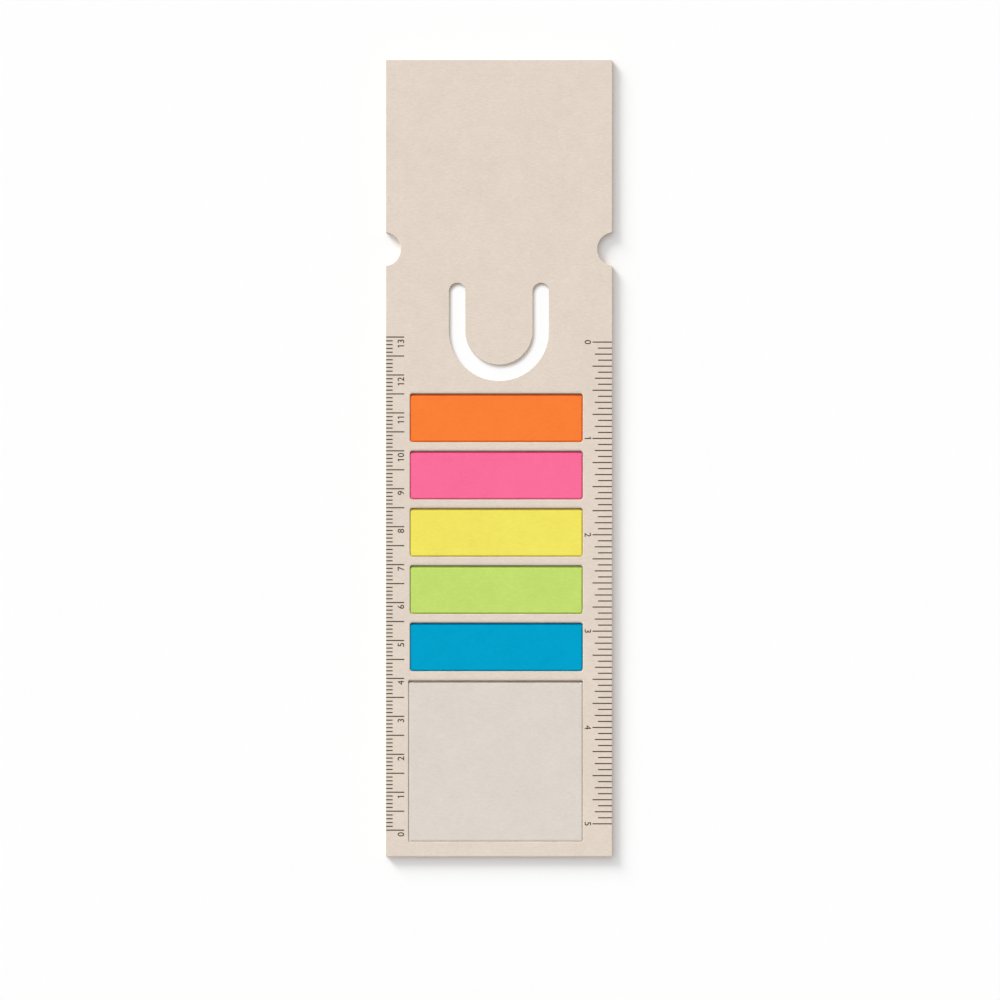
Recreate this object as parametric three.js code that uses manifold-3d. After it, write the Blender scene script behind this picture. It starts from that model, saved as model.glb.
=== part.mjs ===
// A bookmark with sticky tabs, in millimetres.
// It lies face up. X runs across the card, Y along it towards its blank end, and Z up from its underside.
// A back card closes the windows of a thicker front card, and a pad of sticky sheets lies in each window.

import * as THREE from 'three';
import { mergeVertices } from 'three/addons/utils/BufferGeometryUtils.js';
import Module from 'manifold-3d';

const wasm = await Module();
wasm.setup();

// Both cards
const cardWidth = 59.6;
const cardLength = 210;
const backThickness = 0.5;
const frontThickness = 1.5;
const arcTolerance = 0.01; // how far a facet may lie from its true arc

// Windows of the front card: one for the memo sheets, and a column of five for tabs above it
const tabWindowOffset = -0.7; // the tab windows' middle, from the card's middle
const tabWindowRadius = 0.75;
const memoWindowOffset = -0.9;
const memoWindowRadius = 0.3;
const tabWindowBar = 2.2; // the strip of card between two tab windows
const memoWindowBar = 2.4; // the strip above the memo window
const memoWindowFromBottom = 3.9;
const memoWindowWidth = 46;
const memoWindowLength = 42.5;
const tabWindowWidth = 45.6;
const tabWindowLength = 12.9;

// Page clip: a round-ended tongue, cut free by a slot of one width that runs around it
const clipAboveWindows = 3.25;
const clipLength = 25.85;
const clipSlotWidth = 4.25;
const tongueWidth = 17.8;

// Round notch in each long side
const notchAboveClip = 8.9; // from the clip's upper end to the middle of the notches
const notchRadius = 4.45;
const notchOutset = 0.55; // how far outside the card's side the circle has its centre

// Pads: how they fit their windows
const padSideGap = 0.4;
const padTopGap = 0.7;
const padBottomGap = 0.4;
const padRecess = 0.1; // how far a pad's top lies below the front card's face

// Marks of both scales, printed in thick ink
const inkHeight = 0.03;
const inkRoot = 0.2; // how far a mark's block reaches into the card that it is joined to
const markWidth = 0.28;
const markInset = 0.2; // from the card's side to the start of each mark

// Centimetre scale along the left side, counted upwards
const centimetre = 10;
const centimetreCount = 13;
const marksPerCentimetre = 10;
const marksPerHalfCentimetre = 5;
const centimetreZeroFromBottom = 6.93;
const halfCentimetreReach = 4.8;
const millimetreReach = 1.75;

// Inch scale along the right side, counted downwards
const inch = 25.4;
const inchCount = 5;
const marksPerInch = 16;
const marksPerQuarter = 4;
const marksPerEighth = 2;
const inchEndFromBottom = 8.6;
const quarterReach = 5.15;
const eighthReach = 4.55;
const sixteenthReach = 3.7;

// Finishes
const cardFinish = { color: 0xe0d3c5, roughness: 0.92, metalness: 0 };
const memoFinish = { color: 0xdcd5cb, roughness: 0.9, metalness: 0 };
const tabPaperRoughness = 0.85;
const tabPads = [
  { name: 'orange_tab_pad', color: 0xfb8038 },
  { name: 'pink_tab_pad', color: 0xfa6c9b },
  { name: 'yellow_tab_pad', color: 0xf2e564 },
  { name: 'green_tab_pad', color: 0xc5de6e },
  { name: 'blue_tab_pad', color: 0x00a3cd },
];

// Places across and along the card, from its middle, worked out from the lower end upwards
const side = cardWidth / 2;
const top = cardLength / 2;
const bottom = -top;
const memoWindowTop = bottom + memoWindowFromBottom + memoWindowLength;
const tabPitch = tabWindowBar + tabWindowLength;
const windowsTop = memoWindowTop + memoWindowBar + tabPads.length * tabPitch - tabWindowBar;
const clipBottom = windowsTop + clipAboveWindows;
const clipTop = clipBottom + clipLength;
const notchY = clipTop + notchAboveClip;
const inchZero = bottom + inchEndFromBottom + inchCount * inch;

const padThickness = frontThickness - padRecess;

// Points along an arc, both ends included, close enough together to keep to the tolerance.
function arc(x, y, radius, startAngle, endAngle) {
  if (radius <= arcTolerance) return [new THREE.Vector2(x, y)];
  const widestStep = 2 * Math.acos(1 - arcTolerance / radius);
  const steps = Math.ceil(Math.abs(endAngle - startAngle) / widestStep);
  const points = [];
  for (let step = 0; step <= steps; step += 1) {
    const angle = startAngle + (endAngle - startAngle) * step / steps;
    points.push(new THREE.Vector2(x + radius * Math.cos(angle), y + radius * Math.sin(angle)));
  }
  return points;
}

function roundedRectangle(width, length, radius) {
  const x = width / 2 - radius;
  const y = length / 2 - radius;
  const quarter = Math.PI / 2;
  return [
    ...arc(x, y, radius, 0, quarter),
    ...arc(-x, y, radius, quarter, 2 * quarter),
    ...arc(-x, -y, radius, 2 * quarter, 3 * quarter),
    ...arc(x, -y, radius, 3 * quarter, 4 * quarter),
  ];
}

function moved(points, x, y) {
  const offset = new THREE.Vector2(x, y);
  return points.map((point) => point.clone().add(offset));
}

// The card's outline, with a notch in each side.
function cardOutline() {
  const centreX = side + notchOutset;
  const halfAngle = Math.acos(notchOutset / notchRadius);
  return [
    new THREE.Vector2(-side, bottom),
    new THREE.Vector2(side, bottom),
    ...arc(centreX, notchY, notchRadius, Math.PI + halfAngle, Math.PI - halfAngle),
    new THREE.Vector2(side, top),
    new THREE.Vector2(-side, top),
    ...arc(-centreX, notchY, notchRadius, halfAngle, -halfAngle),
  ];
}

// The slot that leaves the tongue: down one leg, round the bottom, up the other leg and back inside.
function clipSlot() {
  const innerRadius = tongueWidth / 2;
  const outerRadius = innerRadius + clipSlotWidth;
  const endRadius = clipSlotWidth / 2;
  const legX = innerRadius + endRadius;
  const legY = clipTop - endRadius;
  const bendY = clipBottom + outerRadius;
  return [
    ...arc(0, bendY, outerRadius, Math.PI, 2 * Math.PI),
    ...arc(legX, legY, endRadius, 0, Math.PI),
    ...arc(0, bendY, innerRadius, 2 * Math.PI, Math.PI),
    ...arc(-legX, legY, endRadius, 0, Math.PI),
  ];
}

// Each window's middle, size and corner radius, with the tab windows in the order of their pads.
function windowColumn() {
  const memo = {
    x: memoWindowOffset,
    y: memoWindowTop - memoWindowLength / 2,
    width: memoWindowWidth,
    length: memoWindowLength,
    radius: memoWindowRadius,
  };
  const tabs = tabPads.map((_, index) => ({
    x: tabWindowOffset,
    y: windowsTop - tabWindowLength / 2 - index * tabPitch,
    width: tabWindowWidth,
    length: tabWindowLength,
    radius: tabWindowRadius,
  }));
  return { memo, tabs };
}

function plate(outline, holes, thickness) {
  const shape = new THREE.Shape(outline);
  shape.holes = holes.map((hole) => new THREE.Path(hole));
  return new THREE.ExtrudeGeometry(shape, { depth: thickness, bevelEnabled: false });
}

function toSolid(geometry) {
  geometry.deleteAttribute('normal');
  geometry.deleteAttribute('uv');
  const merged = mergeVertices(geometry);
  return new wasm.Manifold(new wasm.Mesh({
    numProp: 3,
    vertProperties: merged.attributes.position.array,
    triVerts: merged.index.array,
  }));
}

function toGeometry(solid) {
  const { vertProperties, triVerts } = solid.getMesh();
  const geometry = new THREE.BufferGeometry();
  geometry.setAttribute('position', new THREE.BufferAttribute(vertProperties, 3));
  geometry.setIndex(new THREE.BufferAttribute(triVerts, 1));
  geometry.computeVertexNormals();
  return geometry;
}

// One mark across the card's edge zone. sign is -1 at the left side and 1 at the right side.
function mark(sign, y, reach) {
  const length = reach - markInset;
  const height = inkRoot + inkHeight;
  const block = new THREE.BoxGeometry(length, markWidth, height);
  block.translate(sign * (side - markInset - length / 2), y, frontThickness + inkHeight - height / 2);
  return toSolid(block);
}

function centimetreMarks() {
  const marks = [];
  for (let index = 0; index <= centimetreCount * marksPerCentimetre; index += 1) {
    const y = bottom + centimetreZeroFromBottom + index * centimetre / marksPerCentimetre;
    const reach = index % marksPerHalfCentimetre === 0 ? halfCentimetreReach : millimetreReach;
    marks.push(mark(-1, y, reach));
  }
  return marks;
}

function inchReach(index) {
  if (index % marksPerQuarter === 0) return quarterReach;
  return index % marksPerEighth === 0 ? eighthReach : sixteenthReach;
}

function inchMarks() {
  const marks = [];
  for (let index = 0; index <= inchCount * marksPerInch; index += 1) {
    const y = inchZero - index * inch / marksPerInch;
    marks.push(mark(1, y, inchReach(index)));
  }
  return marks;
}

function piece(name, geometry, finish) {
  const mesh = new THREE.Mesh(geometry, new THREE.MeshStandardMaterial(finish));
  mesh.name = name;
  return mesh;
}

function backCard() {
  return piece('back_card', plate(cardOutline(), [clipSlot()], backThickness), cardFinish);
}

function frontCard({ memo, tabs }) {
  const windows = [memo, ...tabs].map(({ x, y, width, length, radius }) => (
    moved(roundedRectangle(width, length, radius), x, y)
  ));
  const board = toSolid(plate(cardOutline(), [clipSlot(), ...windows], frontThickness));
  const printed = [...centimetreMarks(), ...inchMarks()].reduce((card, ink) => card.add(ink), board);
  return piece('front_card', toGeometry(printed), cardFinish);
}

// A pad stands on the back card inside its window.
function pad(name, finish, { x, y, width, length, radius }) {
  const padWidth = width - 2 * padSideGap;
  const padLength = length - padTopGap - padBottomGap;
  const cornerRadius = Math.max(radius - padSideGap, 0);
  const mesh = piece(name, plate(roundedRectangle(padWidth, padLength, cornerRadius), [], padThickness), finish);
  mesh.position.set(x, y + (padBottomGap - padTopGap) / 2, 0);
  return mesh;
}

const windows = windowColumn();

const onBackCard = new THREE.Group();
onBackCard.position.z = backThickness;
onBackCard.add(frontCard(windows));
tabPads.forEach(({ name, color }, index) => {
  onBackCard.add(pad(name, { color, roughness: tabPaperRoughness, metalness: 0 }, windows.tabs[index]));
});
onBackCard.add(pad('memo_pad', memoFinish, windows.memo));

const bookmark = new THREE.Group();
bookmark.add(backCard(), onBackCard);

export default bookmark;
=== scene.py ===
"""A bookmark of recycled card with sticky tabs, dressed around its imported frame.

The pads, both cards and the printed scales are modelled with bmesh, in metres, where the frame says.
"""

import math
import random

import bmesh
import bpy
from bpy.props import FloatProperty, FloatVectorProperty, IntProperty, PointerProperty
from mathutils import Matrix, Vector


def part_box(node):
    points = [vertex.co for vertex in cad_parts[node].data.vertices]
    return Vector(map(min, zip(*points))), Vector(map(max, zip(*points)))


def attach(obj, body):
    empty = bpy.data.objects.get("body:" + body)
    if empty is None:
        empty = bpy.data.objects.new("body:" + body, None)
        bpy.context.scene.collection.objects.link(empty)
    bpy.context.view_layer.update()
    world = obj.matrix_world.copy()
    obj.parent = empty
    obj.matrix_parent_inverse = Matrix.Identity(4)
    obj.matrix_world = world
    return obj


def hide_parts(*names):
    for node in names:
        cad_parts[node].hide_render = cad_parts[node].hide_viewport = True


bl_info = {
    "name": "Bookmark with sticky tabs",
    "version": (1, 0, 0),
    "blender": (4, 5, 0),
    "location": "3D View > Sidebar > Bookmark",
    "description": "Models a card bookmark with pads of sticky tabs and two printed scales",
    "category": "Object",
}

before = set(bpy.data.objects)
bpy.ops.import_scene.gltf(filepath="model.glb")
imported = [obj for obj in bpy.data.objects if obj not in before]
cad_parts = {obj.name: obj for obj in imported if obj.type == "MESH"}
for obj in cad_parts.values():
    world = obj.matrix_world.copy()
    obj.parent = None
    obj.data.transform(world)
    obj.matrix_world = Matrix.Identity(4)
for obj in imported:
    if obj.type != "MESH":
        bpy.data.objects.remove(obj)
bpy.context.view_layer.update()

MM = 0.001
ROOT = "root"
TAB_COLOURS = ("orange", "pink", "yellow", "green", "blue")
BACK_LOW, BACK_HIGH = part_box("back_card")
FRONT_LOW, FRONT_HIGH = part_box("front_card")


def length(name, description, default):
    """A length property, in metres."""
    return FloatProperty(name=name, description=description, default=default, unit="LENGTH", precision=5)


def colour(name, description, red, green, blue):
    """A colour property, from red, green and blue, 0 to 255."""
    linear = [to_linear(channel / 255) for channel in (red, green, blue)]
    return FloatVectorProperty(
        name=name, description=description, default=linear, subtype="COLOR", size=3, min=0, max=1
    )


def to_linear(channel):
    """A display value from 0 to 1 as linear light."""
    if channel <= 0.04045:
        return channel / 12.92
    return ((channel + 0.055) / 1.055) ** 2.4


# Sizes and colours that a user would change


class CardSizes(bpy.types.PropertyGroup):
    """Both cards: their cut-outs and edges."""

    tab_window_radius: length("Tab window corner", "Corner radius of a tab window", 0.75 * MM)
    memo_window_radius: length("Memo window corner", "Corner radius of the memo window", 0.3 * MM)
    side_gap: length("Side gap", "From a pad's side to its window's side", 0.4 * MM)
    top_gap: length("Top gap", "From a pad's upper end to its window's upper end", 0.7 * MM)
    bottom_gap: length("Bottom gap", "From a pad's lower end to its window's lower end", 0.4 * MM)
    clip_above_windows: length("Clip above windows", "Card between the top window and the clip", 3.25 * MM)
    clip_length: length("Clip length", "Length of the slot around the tongue", 25.85 * MM)
    clip_slot_width: length("Clip slot", "Width of the slot around the tongue", 4.25 * MM)
    tongue_width: length("Tongue", "Width of the tongue that holds a page", 17.8 * MM)
    notch_above_clip: length("Notch above clip", "From the clip's upper end to the notches", 8.9 * MM)
    notch_radius: length("Notch radius", "Radius of the notch in each side", 4.45 * MM)
    notch_outset: length("Notch outset", "Distance of the notch's centre outside the side", 0.55 * MM)
    cut_lip_width: length("Cut lip width", "Width of the rounding along a cut edge", 0.1 * MM)
    cut_lip_depth: length("Cut lip depth", "Depth of the rounding along a cut edge", 0.04 * MM)
    slot_lip_width: length("Slot lip width", "Width of the rounding along the slot's upper edge", 0.13 * MM)
    slot_lip_depth: length("Slot lip depth", "Depth of the rounding along the slot's upper edge", 0.07 * MM)
    window_lip_width: length("Window lip width", "How far the board bends down above a window", 0.8 * MM)
    window_lip_depth: length("Window lip depth", "How deep the board bends down around a window", 0.12 * MM)
    window_side_lip: FloatProperty(
        name="Side lip",
        description="Width of the bend beside a window, as a share of the bend above",
        default=0.25,
    )


class PadSizes(bpy.types.PropertyGroup):
    """The stacks of sheets."""

    sheet_thickness: length("Sheet", "Thickness of one sheet with its glue", 0.1 * MM)
    sheet_gap: length("Air", "Air between two sheets at their edges", 0.012 * MM)
    sheet_shift: length("Shift", "How far a sheet may lie out of line", 0.02 * MM)
    tab_spread: length("Tab spread", "How much further a tab sheet reaches than the one above", 0.12 * MM)
    memo_spread: length("Memo spread", "How much further a memo sheet reaches than the one above", 0.3 * MM)
    upper_spread: length("Upper spread", "The same at the upper end, where the stack leans", 0.05 * MM)
    upper_set_back: length("Upper set-back", "How far the topmost sheet lies back at that end", 0.15 * MM)
    wall_gap: length("Wall gap", "From the lower sheets to the window's side or lower wall", 0.05 * MM)
    upper_gap: length("Upper gap", "From the lower sheets to the window's upper wall", 0.25 * MM)
    tab_radius: length("Tab corner", "Corner radius of a tab sheet", 0.45 * MM)
    memo_radius: length("Memo corner", "Corner radius of a memo sheet", 0.2 * MM)
    edge_rounding: length("Edge", "Rounding along the edge of a sheet", 0.02 * MM)


class ScaleSizes(bpy.types.PropertyGroup):
    """Marks and numbers of both printed scales."""

    ink_height: length("Ink", "Height of the ink above the card", 0.03 * MM)
    mark_width: length("Mark", "Width of one mark", 0.27 * MM)
    mark_inset: length("Mark inset", "From the card's side to a mark", 0.02 * MM)
    number_weight: length("Number weight", "How much bolder the numbers are than plain ones", 0.01 * MM)
    number_height: length("Number", "Height of a number", 1.7 * MM)
    centimetre_zero: length("Centimetre zero", "From the card's lower end to the zero mark", 6.93 * MM)
    centimetre: length("Centimetre", "Distance of two centimetre marks", 10 * MM)
    centimetre_count: IntProperty(name="Centimetres", description="Length of the left scale", default=13)
    half_reach: length("Half reach", "Reach of a half or whole centimetre mark", 4.8 * MM)
    millimetre_reach: length("Millimetre reach", "Reach of a millimetre mark", 1.75 * MM)
    centimetre_baseline: length("Left baseline", "From the card's left side to its numbers' feet", 4.75 * MM)
    number_gap: length("Number gap", "From a centimetre mark to its number", 0.5 * MM)
    inch_end: length("Inch end", "From the card's lower end to the last inch mark", 8.6 * MM)
    inch: length("Inch", "Distance of two inch marks", 25.4 * MM)
    inch_count: IntProperty(name="Inches", description="Length of the right scale", default=5)
    quarter_reach: length("Quarter reach", "Reach of a quarter inch mark", 5.15 * MM)
    eighth_reach: length("Eighth reach", "Reach of an eighth inch mark", 4.55 * MM)
    sixteenth_reach: length("Sixteenth reach", "Reach of a sixteenth inch mark", 3.7 * MM)
    inch_baseline: length("Right baseline", "From the card's right side to its numbers' feet", 7.22 * MM)


class Finishes(bpy.types.PropertyGroup):
    """Colours of card, papers, ink and floor."""

    card: colour("Card", "Recycled board", 226, 213, 199)
    wall: colour("Cut walls", "Cut walls of the board", 201, 171, 142)
    memo: colour("Memo paper", "Recycled writing paper", 221, 213, 203)
    orange: colour("Orange paper", "Orange tabs", 251, 128, 55)
    pink: colour("Pink paper", "Pink tabs", 251, 110, 155)
    yellow: colour("Yellow paper", "Yellow tabs", 241, 229, 97)
    green: colour("Green paper", "Green tabs", 195, 222, 111)
    blue: colour("Blue paper", "Blue tabs", 1, 161, 203)
    ink: colour("Ink", "Printing ink", 66, 56, 48)
    floor: colour("Floor", "Studio floor", 254, 254, 254)


class StageSettings(bpy.types.PropertyGroup):
    """Light and camera."""

    key_share: FloatProperty(name="Key share", description="The key's share of the light", default=0.28)
    key_height: FloatProperty(
        name="Key height", description="Height of the key light", default=math.radians(22), subtype="ANGLE"
    )
    light_turn: FloatProperty(
        name="Light turn",
        description="Where key and fill come from",
        default=math.radians(130),
        subtype="ANGLE",
    )
    key_spread: FloatProperty(
        name="Key spread", description="Apparent width", default=math.radians(24), subtype="ANGLE"
    )
    fill_share: FloatProperty(name="Fill share", description="The fill's share of the light", default=0.25)
    fill_height: FloatProperty(
        name="Fill height", description="Height of the fill", default=math.radians(52), subtype="ANGLE"
    )
    fill_spread: FloatProperty(
        name="Fill spread", description="Apparent width", default=math.radians(65), subtype="ANGLE"
    )
    # Painted light on the floor in the slot: an emission that only the camera sees hides most of the real
    # shadow there. These three set how wide its fade is, where the fade lies and how strong the painted light
    # is.
    slot_shade: length("Slot shade", "Width of the shade under the slot's walls", 1.3 * MM)
    slot_shade_reach: length("Slot shade reach", "How far that shade's middle lies from the walls", 0.95 * MM)
    slot_glow: FloatProperty(name="Slot glow", description="How bright the slot's floor is kept", default=0.95)
    floor_width: length("Floor width", "Width of the floor", 6.0)
    camera_distance: length("Camera distance", "From the card's face to the camera", 1.2)
    view_width: length("View width", "Width of the picture at the card's face", 263.64 * MM)
    view_right: length("View right", "Middle of the picture, right of the card's middle", 0.26 * MM)
    view_down: length("View down", "Middle of the picture, below the card's middle", 11.04 * MM)


class BookmarkSettings(bpy.types.PropertyGroup):
    """All sizes and colours of the bookmark."""

    card: PointerProperty(type=CardSizes)
    pad: PointerProperty(type=PadSizes)
    scale: PointerProperty(type=ScaleSizes)
    finish: PointerProperty(type=Finishes)
    stage: PointerProperty(type=StageSettings)


# Outlines and plates


class Contour:
    """A closed outline, drawn in a bmesh by lines and arcs at one height."""

    def __init__(self, mesh, x, y, z):
        self.mesh = mesh
        self.z = z
        self.first = mesh.verts.new((x, y, z))
        self.last = self.first
        self.edges = []

    def line_to(self, x, y):
        grown = bmesh.ops.extrude_vert_indiv(self.mesh, verts=[self.last])
        self.last = grown["verts"][0]
        self.last.co = (x, y, self.z)
        self.edges += grown["edges"]

    def arc_about(self, x, y, angle, steps):
        before = set(self.mesh.edges)
        turned = bmesh.ops.spin(
            self.mesh, geom=[self.last], cent=(x, y, self.z), axis=(0, 0, 1), angle=angle, steps=steps
        )
        self.last = next(item for item in turned["geom_last"] if isinstance(item, bmesh.types.BMVert))
        self.edges += [edge for edge in self.mesh.edges if edge not in before]

    def close(self):
        self.edges.append(self.mesh.edges.new((self.last, self.first)))
        return self.edges


def rounded_box(x_low, x_high, y_low, y_high, radius, side_share=1.0, steps=6):
    """A drawer of a rectangle with round corners.

    A positive inset makes it larger, as a hole's lip is: fully at its upper side, and by a share elsewhere.
    """

    def draw(mesh, inset, z):
        grown = inset * side_share
        corner = radius + grown
        left, right = x_low - grown + corner, x_high + grown - corner
        low, high = y_low - grown + corner, y_high + inset - corner
        quarter = math.pi / 2
        contour = Contour(mesh, right, low - corner, z)
        contour.arc_about(right, low, quarter, steps)
        contour.line_to(right + corner, high)
        contour.arc_about(right, high, quarter, steps)
        contour.line_to(left, high + corner)
        contour.arc_about(left, high, quarter, steps)
        contour.line_to(left - corner, low)
        contour.arc_about(left, low, quarter, steps)
        return contour.close()

    return draw


def windows(card):
    """Each pad's window as (name, low x, high x, low y, high y)."""
    found = []
    for name in [f"{tab}_tab_pad" for tab in TAB_COLOURS] + ["memo_pad"]:
        low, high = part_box(name)
        found.append((
            name,
            low.x - card.side_gap,
            high.x + card.side_gap,
            low.y - card.bottom_gap,
            high.y + card.top_gap,
        ))
    return found


def clip_ends(card):
    """The lower and upper end of the slot around the tongue."""
    low = max(window[-1] for window in windows(card)) + card.clip_above_windows
    return low, low + card.clip_length


def card_outline(card, steps=28):
    """A drawer of the card's outline, with its two notches."""
    middle_y = clip_ends(card)[1] + card.notch_above_clip

    def draw(mesh, inset, z):
        left, right = FRONT_LOW.x + inset, FRONT_HIGH.x - inset
        low, high = FRONT_LOW.y + inset, FRONT_HIGH.y - inset
        radius = card.notch_radius + inset
        half_angle = math.acos((card.notch_outset + inset) / radius)
        half_chord = radius * math.sin(half_angle)
        contour = Contour(mesh, left, low, z)
        contour.line_to(right, low)
        contour.line_to(right, middle_y - half_chord)
        contour.arc_about(FRONT_HIGH.x + card.notch_outset, middle_y, -2 * half_angle, steps)
        contour.line_to(right, high)
        contour.line_to(left, high)
        contour.line_to(left, middle_y + half_chord)
        contour.arc_about(FRONT_LOW.x - card.notch_outset, middle_y, -2 * half_angle, steps)
        return contour.close()

    return draw


def clip_slot(card, steps=40, end_steps=16):
    """A drawer of the slot that frees the tongue: both legs, their round ends and the bend below."""
    low, high = clip_ends(card)

    def draw(mesh, inset, z):
        tongue = card.tongue_width / 2
        bend = tongue + card.clip_slot_width
        end = card.clip_slot_width / 2
        leg_y = high - end
        contour = Contour(mesh, -bend - inset, low + bend, z)
        contour.arc_about(0, low + bend, math.pi, steps)
        contour.line_to(bend + inset, leg_y)
        contour.arc_about(tongue + end, leg_y, math.pi, end_steps)
        contour.line_to(tongue - inset, low + bend)
        contour.arc_about(0, low + bend, -math.pi, steps)
        contour.line_to(inset - tongue, leg_y)
        contour.arc_about(-tongue - end, leg_y, math.pi, end_steps)
        return contour.close()

    return draw


def lip_steps(width, depth, count=6):
    """Insets and drops from the flat of a plate to its rim, bending down more and more."""
    return [(width * (1 - step / count), depth * (step / count) ** 3) for step in range(count + 1)]


def add_plate(mesh, drawers, low, high):
    """A closed plate.

    drawers holds each outline's drawer, with the (width, depth) of its upper and lower lip.
    """
    upper_rims, lower_rims = [], []
    for draw, upper_lip, lower_lip in drawers:
        rings = [draw(mesh, inset, high - drop) for inset, drop in lip_steps(*upper_lip)]
        rings += [draw(mesh, inset, low + drop) for inset, drop in reversed(lip_steps(*lower_lip))]
        for upper, lower in zip(rings, rings[1:]):
            bridge = bmesh.ops.bridge_loops(mesh, edges=upper + lower)
            for face in bridge["faces"]:
                face.smooth = True
        upper_rims += rings[0]
        lower_rims += rings[-1]
    bmesh.ops.triangle_fill(mesh, use_beauty=True, edges=upper_rims, normal=(0, 0, 1))
    bmesh.ops.triangle_fill(mesh, use_beauty=True, edges=lower_rims, normal=(0, 0, -1))


def mark_creases(mesh, angle=math.radians(35)):
    """Edges that turn sharply stay sharp under smooth shading."""
    for edge in mesh.edges:
        if len(edge.link_faces) == 2 and edge.calc_face_angle(0) > angle:
            edge.smooth = False


def finish_piece(name, mesh, material, replaced=None):
    """The bmesh as a finished piece that rides on the bookmark."""
    bmesh.ops.recalc_face_normals(mesh, faces=mesh.faces)
    mark_creases(mesh)
    data = bpy.data.meshes.new(name)
    mesh.to_mesh(data)
    mesh.free()
    data.materials.append(material)
    piece = bpy.data.objects.new(name, data)
    bpy.context.scene.collection.objects.link(piece)
    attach(piece, ROOT)
    if replaced:
        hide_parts(replaced)
    return piece


# Shaders

PAPER_GLOSS = 0.02


class Wire:
    """A number on its way through a shader. Arithmetic on it adds Math nodes."""

    def __init__(self, shader, socket):
        self.shader = shader
        self.socket = socket

    def maths(self, operation, *operands):
        inputs = dict(enumerate(operands or (self,)))
        return self.shader.node("ShaderNodeMath", {"operation": operation}, inputs)

    def __add__(self, other):
        return self.maths("ADD", self, other)

    def __radd__(self, other):
        return self.maths("ADD", other, self)

    def __sub__(self, other):
        return self.maths("SUBTRACT", self, other)

    def __rsub__(self, other):
        return self.maths("SUBTRACT", other, self)

    def __mul__(self, other):
        return self.maths("MULTIPLY", self, other)

    def __rmul__(self, other):
        return self.maths("MULTIPLY", other, self)

    def __abs__(self):
        return self.maths("ABSOLUTE", self)

    def distance(self, other):
        """The length of a line that goes this far one way and the other's value across."""
        return (self * self + other * other).maths("SQRT")

    def ramp(self, start, end):
        """0 below start, 1 above end and smooth between them. start may be the larger one."""
        settings = {"interpolation_type": "SMOOTHSTEP"}
        inputs = {"Value": self, "From Min": start, "From Max": end}
        return self.shader.node("ShaderNodeMapRange", settings, inputs)


class Shader:
    """The node tree of a material or a world, built up node by node."""

    def __init__(self, owner):
        self.owner = owner
        owner.use_nodes = True
        self.tree = owner.node_tree
        self.tree.nodes.clear()

    def node(self, kind, settings=None, inputs=None, output=0):
        """Adds a node, sets it, gives its sockets their values or links, and returns one of its outputs."""
        made = self.tree.nodes.new(kind)
        for name, value in (settings or {}).items():
            setattr(made, name, value)
        for key, value in (inputs or {}).items():
            if isinstance(value, Wire):
                self.tree.links.new(value.socket, made.inputs[key])
            else:
                made.inputs[key].default_value = value
        return Wire(self, made.outputs[output]) if made.outputs else None

    def coordinates(self, turn=0.0, stretch=(1, 1, 1), shift=(0, 0, 0)):
        """Object coordinates in millimetres, turned about Z and then divided by a stretch."""
        place = self.node("ShaderNodeTexCoord", output="Object")
        turned = self.node("ShaderNodeMapping", inputs={
            "Vector": place, "Rotation": (0, 0, turn), "Scale": (1 / MM, 1 / MM, 1 / MM), "Location": shift
        })
        shrink = tuple(1 / share for share in stretch)
        return self.node("ShaderNodeMapping", inputs={"Vector": turned, "Scale": shrink})

    def noise(self, size, detail=2.0, roughness=0.5, **where):
        """Noise from about -0.5 to 0.5, with features of a size in millimetres."""
        inputs = {
            "Vector": self.coordinates(**where), "Scale": 1 / size, "Detail": detail, "Roughness": roughness
        }
        return self.node("ShaderNodeTexNoise", inputs=inputs) - 0.5

    def tint(self, base, factor, other):
        """base turned towards another colour by a factor."""
        inputs = {0: factor, 6: base, 7: other}
        settings = {"data_type": "RGBA", "clamp_factor": True}
        return self.node("ShaderNodeMix", settings, inputs, output=2)

    def surface(self, colour, roughness, normal=None):
        """Joins a Principled surface to the output."""
        inputs = {"Base Color": colour, "Roughness": roughness, "Specular IOR Level": PAPER_GLOSS}
        if normal:
            inputs["Normal"] = normal
        shaded = self.node("ShaderNodeBsdfPrincipled", inputs=inputs)
        self.node("ShaderNodeOutputMaterial", inputs={"Surface": shaded})
        return self.owner


def shade(rgb, factor):
    """A colour made darker or lighter, with its alpha."""
    return tuple(min(1.0, channel * factor) for channel in rgb) + (1.0,)


def fibres(shader, turn, length_mm, width_mm, amount):
    """Short fibres along one direction, as a mask."""
    lines = shader.noise(1.0, detail=0.0, turn=turn, stretch=(length_mm, width_mm, width_mm))
    patches = shader.noise(length_mm * 1.3, detail=1.0, shift=(turn * 40, turn * 17, 0))
    return lines.ramp(0.5 - amount, 0.56 - amount) * patches.ramp(-0.02, 0.1)


def specks(shader, spacing, size, share, seed):
    """Small round specks on some cells of a grid, as a mask."""
    inputs = {"Vector": shader.coordinates(shift=(seed, seed * 1.7, seed * 0.3)), "Scale": 1 / spacing}
    distance = shader.node("ShaderNodeTexVoronoi", inputs=inputs, output="Distance")
    cell = shader.node("ShaderNodeTexVoronoi", inputs=inputs, output="Color")
    chosen = shader.node("ShaderNodeSeparateColor", inputs={"Color": cell})
    return distance.ramp(size / spacing, size / spacing * 0.5) * chosen.ramp(1 - share, 1 - share + 0.05)


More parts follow.
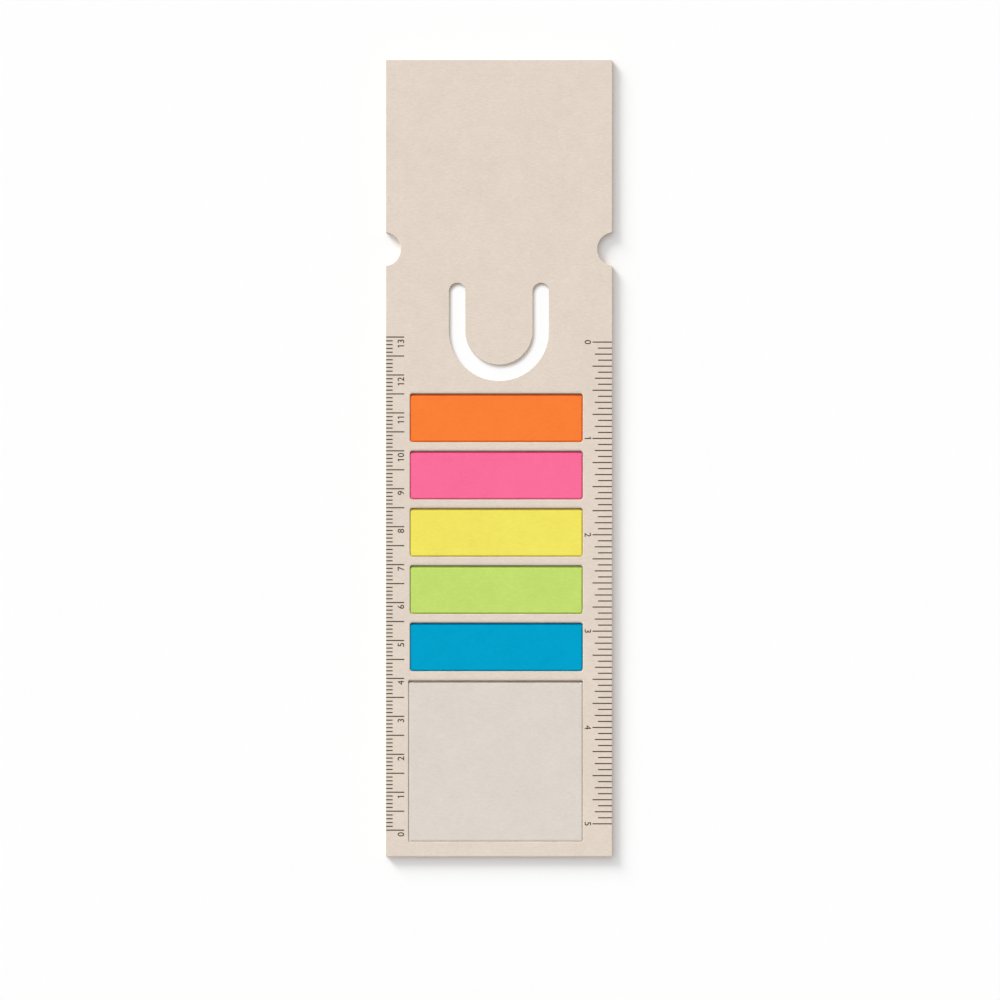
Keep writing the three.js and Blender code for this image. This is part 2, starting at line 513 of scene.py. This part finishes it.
def paper_colour(shader, rgb, cloud, grain, flecks):
    """A paper's colour, with soft clouds, fine grain and light and dark flecks of the given strengths."""
    tone = (shader.noise(9.0) + shader.noise(3.0)) * cloud
    tone = tone + shader.noise(0.4, detail=3.0, roughness=0.7) * grain
    tone = tone + shader.noise(1.0, detail=2.0, stretch=(1.1, 0.42, 0.42)) * grain
    colour = shader.tint(shade(rgb, 1.0), tone, shade(rgb, 1.3))
    colour = shader.tint(colour, tone * -1, shade(rgb, 0.7))
    if flecks:
        dark = fibres(shader, 0.4, 1.6, 0.16, 0.22) + fibres(shader, 1.5, 2.2, 0.14, 0.23)
        dark = dark + fibres(shader, 2.5, 1.3, 0.15, 0.22) + specks(shader, 2.6, 0.16, 0.3, 3.0) * 1.5
        light = fibres(shader, 0.9, 1.8, 0.18, 0.22) + fibres(shader, 2.0, 1.4, 0.2, 0.22)
        light = light + specks(shader, 2.1, 0.2, 0.3, 11.0)
        colour = shader.tint(colour, dark * flecks, shade(rgb, 0.55))
        colour = shader.tint(colour, light * flecks, shade(rgb, 1.25))
    return colour


def cut_edge_mask(shader):
    """1 on the upright walls where the board was cut, and 0 on its faces."""
    normal = shader.node("ShaderNodeNewGeometry", output="Normal")
    upright = shader.node("ShaderNodeSeparateXYZ", inputs={"Vector": normal}, output="Z")
    return abs(upright).ramp(0.6, 0.3)


def board_material(name, rgb, walls):
    """Recycled board: clouded and flecked, with its plies showing along the cut walls."""
    shader = Shader(bpy.data.materials.new(name))
    colour = paper_colour(shader, rgb, cloud=0.25, grain=0.6, flecks=0.2)
    edge = cut_edge_mask(shader)
    plies = shader.noise(0.5, detail=3.0, stretch=(4.0, 4.0, 0.25))
    colour = shader.tint(colour, edge * (0.7 + plies), shade(walls, 1.0))
    height = shader.noise(0.45, detail=4.0, roughness=0.6) + shader.noise(2.5, detail=2.0)
    normal = shader.node("ShaderNodeBump", inputs={"Strength": 0.35, "Distance": 0.03 * MM, "Height": height})
    roughness = shader.noise(0.8, detail=3.0) * 0.1 + 0.9
    return shader.surface(colour, roughness, normal)


def paper_material(name, rgb, cloud, grain, flecks):
    """Writing or tab paper, dyed through."""
    shader = Shader(bpy.data.materials.new(name))
    colour = paper_colour(shader, rgb, cloud, grain, flecks)
    height = shader.noise(0.3, detail=3.0) + shader.noise(14.0, detail=1.0) * 4
    normal = shader.node("ShaderNodeBump", inputs={"Strength": 0.3, "Distance": 0.02 * MM, "Height": height})
    roughness = shader.noise(0.6, detail=2.0) * 0.1 + 0.85
    return shader.surface(colour, roughness, normal)


def ink_material(name, rgb):
    """Printing ink that lies unevenly on rough board."""
    shader = Shader(bpy.data.materials.new(name))
    wear = shader.noise(0.25, detail=3.0, roughness=0.7).ramp(0.05, 0.35)
    colour = shader.tint(shade(rgb, 1.0), wear, shade(rgb, 2.2))
    return shader.surface(colour, 0.8)


def background_rays(shader):
    """1 for the rays that see the background, straight or in gloss or glass, and 0 for those that light."""
    seen = shader.node("ShaderNodeLightPath", output="Is Camera Ray")
    for name in ("Is Glossy Ray", "Is Transmission Ray"):
        seen = seen.maths("MAXIMUM", seen, shader.node("ShaderNodeLightPath", output=name))
    return seen


# Pieces


class PieceOperator:
    """What all operators of the bookmark share."""

    bl_options = {"REGISTER", "UNDO"}

    @property
    def settings(self):
        return bpy.context.scene.bookmark


class BOOKMARK_OT_back_card(PieceOperator, bpy.types.Operator):
    """Model the back card, which closes the windows"""

    bl_idname = "bookmark.back_card"
    bl_label = "Back card"

    def execute(self, context):
        card = self.settings.card
        lip = (card.cut_lip_width, card.cut_lip_depth)
        mesh = bmesh.new()
        drawers = [(card_outline(card), lip, lip), (clip_slot(card), lip, lip)]
        add_plate(mesh, drawers, BACK_LOW.z, BACK_HIGH.z)
        material = board_material("back_board", self.settings.finish.card, self.settings.finish.wall)
        finish_piece("back_board", mesh, material, "back_card")
        return {"FINISHED"}


class BOOKMARK_OT_front_card(PieceOperator, bpy.types.Operator):
    """Model the front card, with its windows, tongue and notches"""

    bl_idname = "bookmark.front_card"
    bl_label = "Front card"

    def execute(self, context):
        card = self.settings.card
        cut_lip = (card.cut_lip_width, card.cut_lip_depth)
        slot_lip = (card.slot_lip_width, card.slot_lip_depth)
        window_lip = (card.window_lip_width, card.window_lip_depth)
        mesh = bmesh.new()
        drawers = [(card_outline(card), cut_lip, cut_lip), (clip_slot(card), slot_lip, cut_lip)]
        for name, x_low, x_high, y_low, y_high in windows(card):
            radius = card.memo_window_radius if name == "memo_pad" else card.tab_window_radius
            box = (x_low, x_high, y_low, y_high, radius)
            drawers.append((rounded_box(*box, card.window_side_lip), window_lip, cut_lip))
        add_plate(mesh, drawers, FRONT_LOW.z, face_height(self.settings))
        material = board_material("front_board", self.settings.finish.card, self.settings.finish.wall)
        finish_piece("front_board", mesh, material, "front_card")
        return {"FINISHED"}


def face_height(settings):
    """Height of the front card's bare face, under the ink."""
    return FRONT_HIGH.z - settings.scale.ink_height


def add_sheets(mesh, node, settings, shuffle, spread, radius):
    """A stack of sheets in the space of a pad. The lower ones reach out to the window's walls."""
    card, pad = settings.card, settings.pad
    low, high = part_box(node)
    count = round((high.z - low.z) / pad.sheet_thickness)
    pitch = (high.z - low.z) / count
    edge = (-pad.edge_rounding, pad.edge_rounding)
    for index in range(count):
        depth = count - 1 - index
        side = min(depth * spread, card.side_gap - pad.wall_gap)
        below = min(depth * spread, card.bottom_gap - pad.wall_gap)
        above = min(depth * pad.upper_spread - pad.upper_set_back, card.top_gap - pad.upper_gap)
        across, along = (shuffle.uniform(-1, 1) * pad.sheet_shift for _ in range(2))
        draw = rounded_box(
            low.x - side + across, high.x + side + across, low.y - below + along, high.y + above + along,
            radius, steps=4,
        )
        sheet = bmesh.new()
        floor = low.z + index * pitch
        add_plate(sheet, [(draw, edge, edge)], floor, floor + pitch - pad.sheet_gap)
        flat = bpy.data.meshes.new("sheet")
        sheet.to_mesh(flat)
        sheet.free()
        mesh.from_mesh(flat)
        bpy.data.meshes.remove(flat)


class BOOKMARK_OT_tab_pads(PieceOperator, bpy.types.Operator):
    """Model the five pads of sticky tabs, sheet by sheet"""

    bl_idname = "bookmark.tab_pads"
    bl_label = "Tab pads"

    def execute(self, context):
        shuffle = random.Random(5)
        for tab in TAB_COLOURS:
            mesh = bmesh.new()
            pad = self.settings.pad
            add_sheets(mesh, f"{tab}_tab_pad", self.settings, shuffle, pad.tab_spread, pad.tab_radius)
            rgb = getattr(self.settings.finish, tab)
            material = paper_material(f"{tab}_paper", rgb, cloud=0.28, grain=0.42, flecks=0.0)
            finish_piece(f"{tab}_tabs", mesh, material, f"{tab}_tab_pad")
        return {"FINISHED"}


class BOOKMARK_OT_memo_pad(PieceOperator, bpy.types.Operator):
    """Model the pad of memo sheets, sheet by sheet"""

    bl_idname = "bookmark.memo_pad"
    bl_label = "Memo pad"

    def execute(self, context):
        mesh = bmesh.new()
        pad = self.settings.pad
        add_sheets(mesh, "memo_pad", self.settings, random.Random(8), pad.memo_spread, pad.memo_radius)
        rgb = self.settings.finish.memo
        material = paper_material("memo_paper", rgb, cloud=0.2, grain=0.45, flecks=0.25)
        finish_piece("memo_sheets", mesh, material, "memo_pad")
        return {"FINISHED"}


# Printed scales


def add_mark(mesh, settings, side, y, reach):
    """One mark from the card's side inwards. side is -1 at the left and 1 at the right."""
    scale = settings.scale
    edge = FRONT_HIGH.x if side > 0 else FRONT_LOW.x
    size = Vector((reach - scale.mark_inset, scale.mark_width, scale.ink_height))
    middle = Vector((edge - side * (scale.mark_inset + size.x / 2), y, face_height(settings) + size.z / 2))
    place = Matrix.Translation(middle) @ Matrix.Diagonal((*size, 1))
    bmesh.ops.create_cube(mesh, size=1, matrix=place)


MARKS_PER_CENTIMETRE = 10
MARKS_PER_HALF_CENTIMETRE = 5
MARKS_PER_INCH = 16
MARKS_PER_QUARTER_INCH = 4
MARKS_PER_EIGHTH_INCH = 2

FLAG_TURN = math.radians(40)

# Shares of the type size
CAPITAL_HEIGHT = 0.7
DIGIT_PITCH = 0.5
FLAG_MIDDLE = (0.15, 0.6, 0)
FLAG_SIZE = (0.2, 0.075, 1)


def add_digit(mesh, digit, weight, place):
    """A digit in a plain letter form of type size 1, with a flag on its one and a thickness of 1."""
    curve = bpy.data.curves.new("digit", "FONT")
    curve.body = digit
    curve.size = 1.0
    curve.offset = 0 if digit == "4" else weight  # a bolder four would close up
    curve.extrude = 0.5
    curve.resolution_u = 4
    source = bpy.data.objects.new("digit", curve)
    bpy.context.scene.collection.objects.link(source)
    bpy.context.view_layer.update()
    flat = bpy.data.meshes.new_from_object(source.evaluated_get(bpy.context.evaluated_depsgraph_get()))
    flat.transform(place)
    mesh.from_mesh(flat)
    bpy.data.objects.remove(source)
    bpy.data.curves.remove(curve)
    bpy.data.meshes.remove(flat)
    if digit == "1":
        middle = Matrix.Translation(FLAG_MIDDLE) @ Matrix.Rotation(FLAG_TURN, 4, "Z")
        bmesh.ops.create_cube(mesh, size=1, matrix=place @ middle @ Matrix.Diagonal((*FLAG_SIZE, 1)))


def add_number(mesh, settings, number, x, y, turn, anchor):
    """A printed number, turned about its foot. anchor is the share of it that lies before that point."""
    scale = settings.scale
    size = scale.number_height / CAPITAL_HEIGHT
    text = str(number)
    small = Matrix.Diagonal((size, size, scale.ink_height, 1))
    height = face_height(settings) + scale.ink_height / 2
    foot = Matrix.Translation((x, y, height)) @ Matrix.Rotation(turn, 4, "Z")
    for index, digit in enumerate(text):
        shift = Matrix.Translation(((index - anchor * len(text)) * DIGIT_PITCH, 0, 0))
        add_digit(mesh, digit, scale.number_weight / size, foot @ small @ shift)
    bmesh.ops.remove_doubles(mesh, verts=mesh.verts, dist=0.001 * MM)


class BOOKMARK_OT_centimetre_scale(PieceOperator, bpy.types.Operator):
    """Print the centimetre scale along the left side"""

    bl_idname = "bookmark.centimetre_scale"
    bl_label = "Centimetre scale"

    def execute(self, context):
        scale = self.settings.scale
        zero = FRONT_LOW.y + scale.centimetre_zero
        mesh = bmesh.new()
        for index in range(scale.centimetre_count * MARKS_PER_CENTIMETRE + 1):
            reach = scale.millimetre_reach if index % MARKS_PER_HALF_CENTIMETRE else scale.half_reach
            y = zero + index * scale.centimetre / MARKS_PER_CENTIMETRE
            add_mark(mesh, self.settings, -1, y, reach)
        for number in range(scale.centimetre_count + 1):
            y = zero + number * scale.centimetre - scale.number_gap
            x = FRONT_LOW.x + scale.centimetre_baseline
            add_number(mesh, self.settings, number, x, y, math.pi / 2, 1.0)
        material = ink_material("centimetre_ink", self.settings.finish.ink)
        finish_piece("centimetre_scale", mesh, material)
        return {"FINISHED"}


class BOOKMARK_OT_inch_scale(PieceOperator, bpy.types.Operator):
    """Print the inch scale along the right side"""

    bl_idname = "bookmark.inch_scale"
    bl_label = "Inch scale"

    def execute(self, context):
        scale = self.settings.scale
        zero = FRONT_LOW.y + scale.inch_end + scale.inch_count * scale.inch
        mesh = bmesh.new()
        for index in range(scale.inch_count * MARKS_PER_INCH + 1):
            y = zero - index * scale.inch / MARKS_PER_INCH
            add_mark(mesh, self.settings, 1, y, self.reach(index))
        for number in range(scale.inch_count + 1):
            x = FRONT_HIGH.x - scale.inch_baseline
            y = zero - number * scale.inch
            add_number(mesh, self.settings, number, x, y, -math.pi / 2, 0.5)
        material = ink_material("inch_ink", self.settings.finish.ink)
        finish_piece("inch_scale", mesh, material)
        return {"FINISHED"}

    def reach(self, index):
        scale = self.settings.scale
        if index % MARKS_PER_QUARTER_INCH == 0:
            return scale.quarter_reach
        return scale.eighth_reach if index % MARKS_PER_EIGHTH_INCH == 0 else scale.sixteenth_reach


# Stage


def white_world(ambient):
    """A world that lights evenly and looks white."""
    world = bpy.data.worlds.new("studio")
    bpy.context.scene.world = world
    shader = Shader(world)
    lit, seen = (
        shader.node("ShaderNodeBackground", inputs={"Color": (1, 1, 1, 1), "Strength": strength})
        for strength in (ambient, 1.0)
    )
    mixed = shader.node("ShaderNodeMixShader", inputs={0: background_rays(shader), 1: lit, 2: seen})
    shader.node("ShaderNodeOutputWorld", inputs={"Surface": mixed})


def add_lamp(name, share, height, turn, spread):
    """A far lamp that gives a share of the light that a level sheet of paper gets."""
    light = bpy.data.lights.new(name, "SUN")
    light.energy = math.pi * share / math.sin(height)
    light.angle = spread
    source = Vector((
        math.cos(height) * math.cos(turn), math.cos(height) * math.sin(turn), math.sin(height)
    ))
    lamp = bpy.data.objects.new(name, light)
    lamp.location = source
    lamp.rotation_euler = (-source).to_track_quat("-Z", "Y").to_euler()
    bpy.context.scene.collection.objects.link(lamp)


def slot_light(shader, card, stage):
    """Mask of the painted light on the floor in the slot: 1 in the slot, fading to 0 under the walls that the
    key comes over, where the real shadow shows.
    """
    reach = stage.slot_shade_reach / MM
    shift = (reach * math.cos(stage.light_turn), reach * math.sin(stage.light_turn), 0)
    place = shader.coordinates(shift=shift)
    x, y = (shader.node("ShaderNodeSeparateXYZ", inputs={"Vector": place}, output=axis) for axis in "XY")
    low, high = (end / MM for end in clip_ends(card))
    half = card.clip_slot_width / 2 / MM
    middle = card.tongue_width / 2 / MM + half
    over_bend = y - (low + middle + half)
    below_bend = over_bend.maths("MINIMUM", over_bend, 0)
    over_leg = y - (high - half)
    past_leg = over_leg.maths("MAXIMUM", over_leg, 0)
    off_middle = (x.distance(below_bend) - middle).distance(past_leg)
    soft = stage.slot_shade / 2 / MM
    return off_middle.ramp(half + soft, half - soft)


def floor_material(rgb, settings):
    """A matt white floor that keeps shadows, except in the slot. There, painted light from an emission that
    only the camera sees brightens the floor almost to white and hides most of the real shadow.
    """
    shader = Shader(bpy.data.materials.new("studio_floor"))
    matt = shader.node("ShaderNodeBsdfDiffuse", inputs={"Color": shade(rgb, 1.0)})
    glow = shader.node("ShaderNodeEmission", inputs={"Color": (1, 1, 1, 1), "Strength": 1.0})
    stage = settings.stage
    # Painted light: the share of camera-only emission that stands in for the slot's shadowed floor
    share = background_rays(shader) * slot_light(shader, settings.card, stage) * stage.slot_glow
    mixed = shader.node("ShaderNodeMixShader", inputs={0: share, 1: matt, 2: glow})
    shader.node("ShaderNodeOutputMaterial", inputs={"Surface": mixed})
    return shader.owner


class BOOKMARK_OT_stage(PieceOperator, bpy.types.Operator):
    """Set up the floor, the light and the camera that looks straight down"""

    bl_idname = "bookmark.stage"
    bl_label = "Stage"

    def execute(self, context):
        self.make_floor()
        self.make_light()
        self.make_camera()
        view = context.scene.view_settings
        view.view_transform = "Standard"
        return {"FINISHED"}

    def make_floor(self):
        stage = self.settings.stage
        mesh = bmesh.new()
        place = Matrix.Translation((0, 0, BACK_LOW.z))
        bmesh.ops.create_grid(mesh, x_segments=1, y_segments=1, size=stage.floor_width / 2, matrix=place)
        data = bpy.data.meshes.new("floor")
        mesh.to_mesh(data)
        mesh.free()
        data.materials.append(floor_material(self.settings.finish.floor, self.settings))
        floor = bpy.data.objects.new("floor", data)
        bpy.context.scene.collection.objects.link(floor)

    def make_light(self):
        stage = self.settings.stage
        white_world(1 - stage.key_share - stage.fill_share)
        add_lamp("key", stage.key_share, stage.key_height, stage.light_turn, stage.key_spread)
        add_lamp("fill", stage.fill_share, stage.fill_height, stage.light_turn, stage.fill_spread)

    def make_camera(self):
        stage = self.settings.stage
        data = bpy.data.cameras.new("camera")
        data.lens = data.sensor_width * stage.camera_distance / stage.view_width
        camera = bpy.data.objects.new("camera", data)
        height = face_height(self.settings) + stage.camera_distance
        camera.location = (stage.view_right, -stage.view_down, height)
        bpy.context.scene.collection.objects.link(camera)
        bpy.context.scene.camera = camera


class BOOKMARK_PT_panel(bpy.types.Panel):
    """Lists the pieces of the bookmark and their sizes"""

    bl_idname = "BOOKMARK_PT_panel"
    bl_label = "Bookmark with sticky tabs"
    bl_space_type = "VIEW_3D"
    bl_region_type = "UI"
    bl_category = "Bookmark"

    def draw(self, context):
        settings = context.scene.bookmark
        for operator in OPERATORS:
            self.layout.operator(operator.bl_idname)
        for group in (settings.card, settings.pad, settings.scale, settings.finish, settings.stage):
            box = self.layout.box()
            for name in group.__annotations__:
                box.prop(group, name)


OPERATORS = (
    BOOKMARK_OT_stage,
    BOOKMARK_OT_back_card,
    BOOKMARK_OT_front_card,
    BOOKMARK_OT_tab_pads,
    BOOKMARK_OT_memo_pad,
    BOOKMARK_OT_centimetre_scale,
    BOOKMARK_OT_inch_scale,
)
GROUPS = (CardSizes, PadSizes, ScaleSizes, Finishes, StageSettings, BookmarkSettings)


def register():
    for item in (*GROUPS, *OPERATORS, BOOKMARK_PT_panel):
        bpy.utils.register_class(item)
    bpy.types.Scene.bookmark = PointerProperty(type=BookmarkSettings)


def unregister():
    del bpy.types.Scene.bookmark
    for item in reversed((*GROUPS, *OPERATORS, BOOKMARK_PT_panel)):
        bpy.utils.unregister_class(item)


def main():
    register()
    bpy.ops.bookmark.stage()
    bpy.ops.bookmark.back_card()
    bpy.ops.bookmark.front_card()
    bpy.ops.bookmark.tab_pads()
    bpy.ops.bookmark.memo_pad()
    bpy.ops.bookmark.centimetre_scale()
    bpy.ops.bookmark.inch_scale()


if __name__ == "__main__":
    main()
